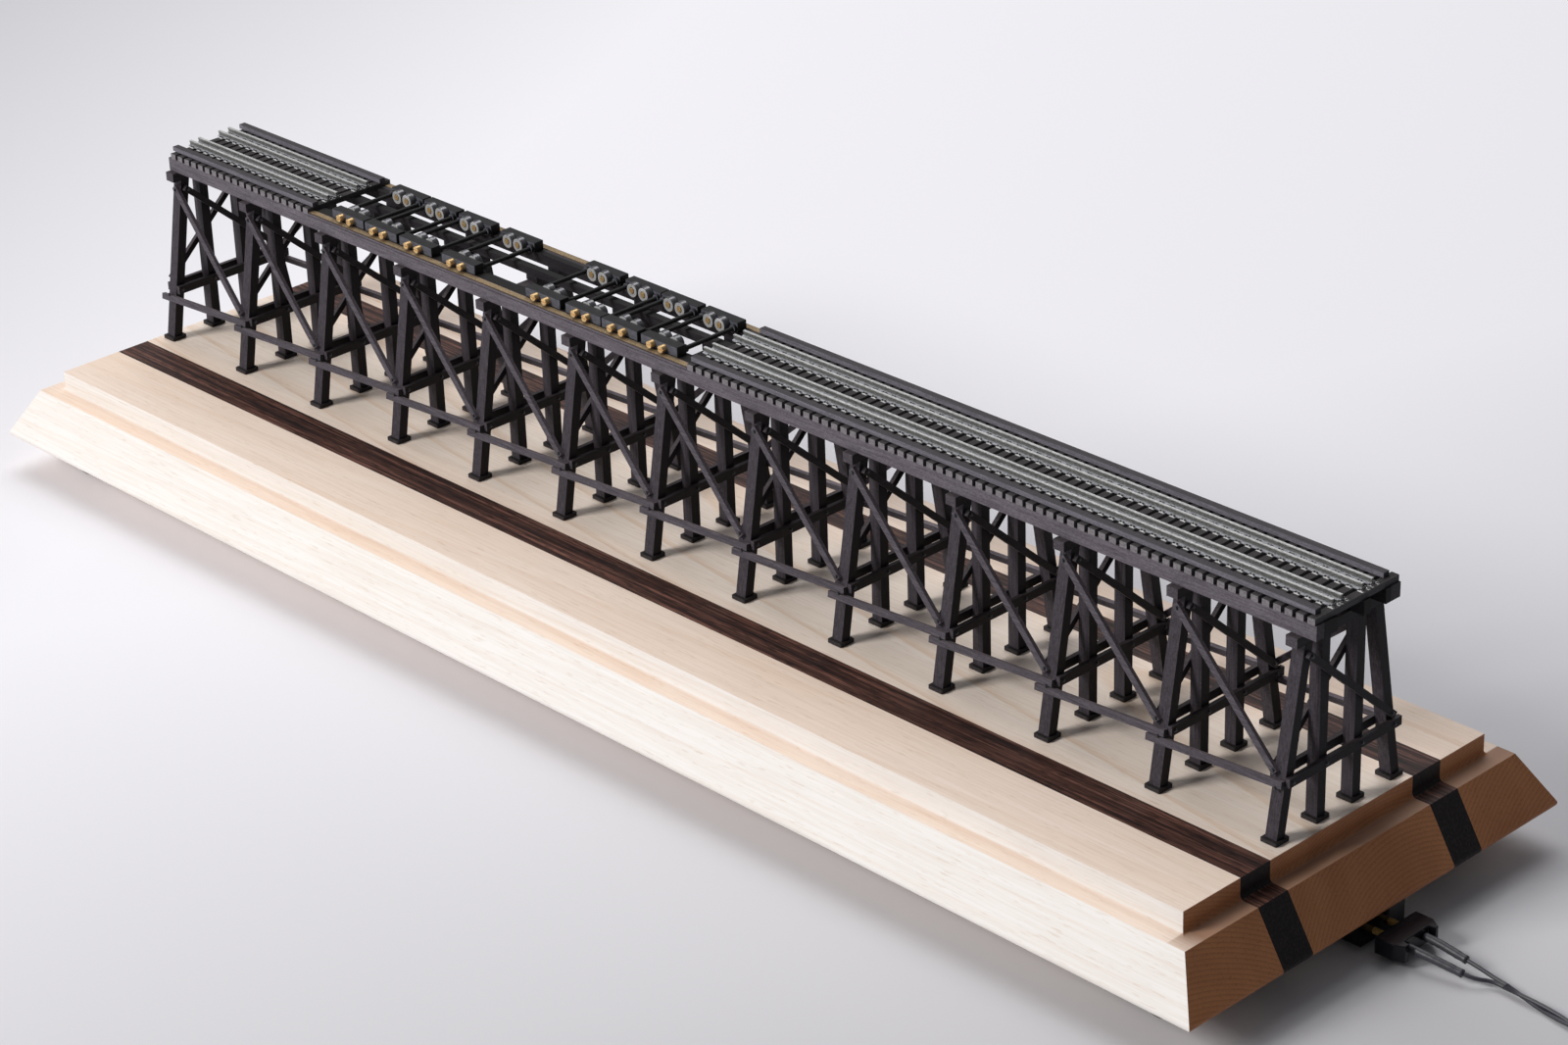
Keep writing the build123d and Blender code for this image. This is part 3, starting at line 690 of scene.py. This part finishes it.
along_x = (90.0, 2200.0, 2200.0)
along_y = (2200.0, 90.0, 2200.0)
along_z = (2200.0, 2200.0, 90.0)
front_maple = maple("maple_front", (-0.105, -0.070), (0.0, math.radians(1.2), math.radians(-2.0)), 0.35)
middle_maple = maple("maple_middle", (0.030, -0.045), (0.0, math.radians(2.5), math.radians(3.0)), 1.0)
rear_maple = maple("maple_rear", (0.120, -0.080), (0.0, math.radians(-1.5), math.radians(2.0)), 0.8)
wenge_mat = wenge()
# the last numbers are painted light and shade: the tone of upper faces, of +X faces and under the track's
# middle
post_mat = timber("post_timber", along_z, (0.030, 0.026, 0.032), (0.070, 0.060, 0.072), 0.8, 0.25)
pad_mat = timber("pad_timber", along_y, (0.020, 0.017, 0.019), (0.045, 0.039, 0.042), 0.7, 0.5)
beam_mat = timber("beam_timber", along_x, (0.085, 0.074, 0.088), (0.158, 0.140, 0.164), 0.36, 0.4, 0.16)
guard_mat = timber("guard_timber", along_x, (0.135, 0.126, 0.150), (0.225, 0.214, 0.250), 0.30, 0.3)
brace_mat = timber("brace_timber", along_x, (0.050, 0.044, 0.053), (0.112, 0.100, 0.118), 1.7, 0.4)
cross_mat = timber("cross_timber", along_y, (0.042, 0.036, 0.043), (0.096, 0.084, 0.098), 0.8, 0.25)
tie_mat = timber("tie_timber", along_y, (0.150, 0.140, 0.150), (0.245, 0.232, 0.248), 0.15, 0.3)
rubber_mat = plastic("rubber", (0.02, 0.02, 0.02), 0.75, 0.00003)
screw_mat = metal("screw_steel", (0.5, 0.5, 0.5), 0.35)
brass_mat = metal("brass", (0.86, 0.59, 0.27), 0.30, 0.15, 1400.0, (0.58, 0.37, 0.16), 0.6)
strip_mat = metal("strip_brass", (0.40, 0.29, 0.16), 0.45, 0.1, 2600.0, (0.17, 0.12, 0.07), 0.6)
pin_mat = metal("pin_brass", (0.95, 0.62, 0.20), 0.25, tint=(0.75, 0.45, 0.12), metallic=0.6)
plate_mat = metal("plate_metal", (0.80, 0.80, 0.80), 0.35, metallic=0.2)
spike_mat = metal("spike_metal", (0.30, 0.29, 0.28), 0.35, 0.15, 1500.0, (0.04, 0.035, 0.03))
bolt_mat = metal("bolt_metal", (0.10, 0.10, 0.11), 0.45, 0.1, 1500.0)
rail_mat = rail_metal()
block_mat = block_black()
plug_mat = plastic("plug_black", (0.005, 0.005, 0.008), 0.14, sheen=0.32)
wire_mat = plastic("wire_grey", (0.035, 0.035, 0.045), 0.42)
sleeve_mat = plastic("sleeve_grey", (0.055, 0.055, 0.066), 0.45, 0.00004)

finish = {
    "front_board": front_maple, "middle_board": middle_maple, "rear_board": rear_maple,
    "inlay_strips": wenge_mat, "rubber_feet": rubber_mat, "foot_screws": screw_mat,
    "post_pads": pad_mat, "posts": post_mat, "caps": cross_mat, "sash_braces": cross_mat,
    "sway_braces": cross_mat, "girts": brace_mat, "lengthwise_braces": brace_mat,
    "stringers": beam_mat, "guard_timbers": guard_mat, "ties": tie_mat,
    "brass_strips": strip_mat, "feed_rods": brass_mat, "rails": rail_mat,
    "socket": plug_mat, "plug": plug_mat, "plug_pins": pin_mat, "far_plug": plug_mat,
}
for name, node in nodes.items():
    if name.startswith("rollers_"):
        x_axle = CARRIAGE_X[int(name[8]) - 1] + (-AXLE_DX if name.endswith("a") else AXLE_DX)
        look = roller_metal("roller_steel_" + name[8:], x_axle)
    elif name.endswith("_frame"):
        look = block_mat
    elif name.startswith("carriage_"):
        look = brass_mat
    else:
        look = finish.get(name, plug_mat)
    node.data.materials.clear()
    node.data.materials.append(look)
for piece, look in ((lead, wire_mat), (front_tail, wire_mat), (rear_tail, wire_mat),
                    (front_sleeve, sleeve_mat), (rear_sleeve, sleeve_mat), (strap_obj, plug_mat),
                    (plates_obj, plate_mat), (spikes_obj, spike_mat), (bolts_obj, bolt_mat)):
    piece.data.materials.append(look)

# eased edges on the pads and the moulded plug
for name, width in (("post_pads", 0.4), ("plug", 0.8)):
    join = nodes[name].modifiers.new("joined_faces", "WELD")
    join.merge_threshold = 0.01 * MM
    ease = nodes[name].modifiers.new("eased_edges", "BEVEL")
    ease.width = width * MM
    ease.segments = 3
    ease.limit_method = "ANGLE"
    ease.angle_limit = math.radians(35)

# ---- floor, light --------------------------------------------------------------------------
floor_mesh = bpy.data.meshes.new("floor")
floor_mesh.from_pydata([(-8, -8, 0), (8, -8, 0), (8, 8, 0), (-8, 8, 0)], [], [(0, 1, 2, 3)])
floor = bpy.data.objects.new("floor", floor_mesh)
scene.collection.objects.link(floor)
# the floor's tone is painted light and shade in two runs: darker toward -X as a painted vignette, and
# darker toward +X and the front as painted shade
floor_mat = Shade("floor", 0.9)
vignette_run = floor_mat.axis(floor_mat.space((1, 1, 1), (0, 0, math.radians(-26.6))), "X")
shade_run = floor_mat.axis(floor_mat.space((1, 1, 1), (0, 0, math.radians(21.8))), "X")
painted_vignette = floor_mat.ramp(floor_mat.step(vignette_run, -0.56, -0.24),
                       [(0.0, (0.59, 0.585, 0.61)), (0.5, (0.74, 0.735, 0.76)), (1.0, (0.90, 0.89, 0.925))])
painted_shade_ramp = floor_mat.ramp(floor_mat.step(shade_run, -0.1, 0.44),
                      [(0.0, (1.0,)), (0.55, (0.76, 0.76, 0.755)), (1.0, (0.50, 0.50, 0.495))])
floor_mat.colour(floor_mat.mix(1.0, painted_vignette, painted_shade_ramp, "MULTIPLY"))
floor.data.materials.append(floor_mat.mat)

world = bpy.data.worlds.new("world")
scene.world = world
world.use_nodes = True
world.node_tree.nodes["Background"].inputs["Color"].default_value = (0.80, 0.82, 0.88, 1.0)
world.node_tree.nodes["Background"].inputs["Strength"].default_value = 0.16


def area_light(name, place, target, size, power, colour):
    data = bpy.data.lights.new(name, "AREA")
    data.shape = "RECTANGLE"
    data.size, data.size_y = size
    data.energy = power
    data.color = colour
    obj = bpy.data.objects.new(name, data)
    obj.location = place
    obj.rotation_euler = (Vector(target) - Vector(place)).to_track_quat("-Z", "Y").to_euler()
    scene.collection.objects.link(obj)


area_light("key", (-1.38, -3.05, 2.2), (0.0, 0.0, 0.05), (1.2, 1.3), 120.0, (1.0, 0.985, 0.97))
area_light("overhead", (-1.1, 0.9, 2.5), (0.0, 0.0, 0.0), (2.4, 2.4), 50.0, (0.985, 0.985, 1.0))
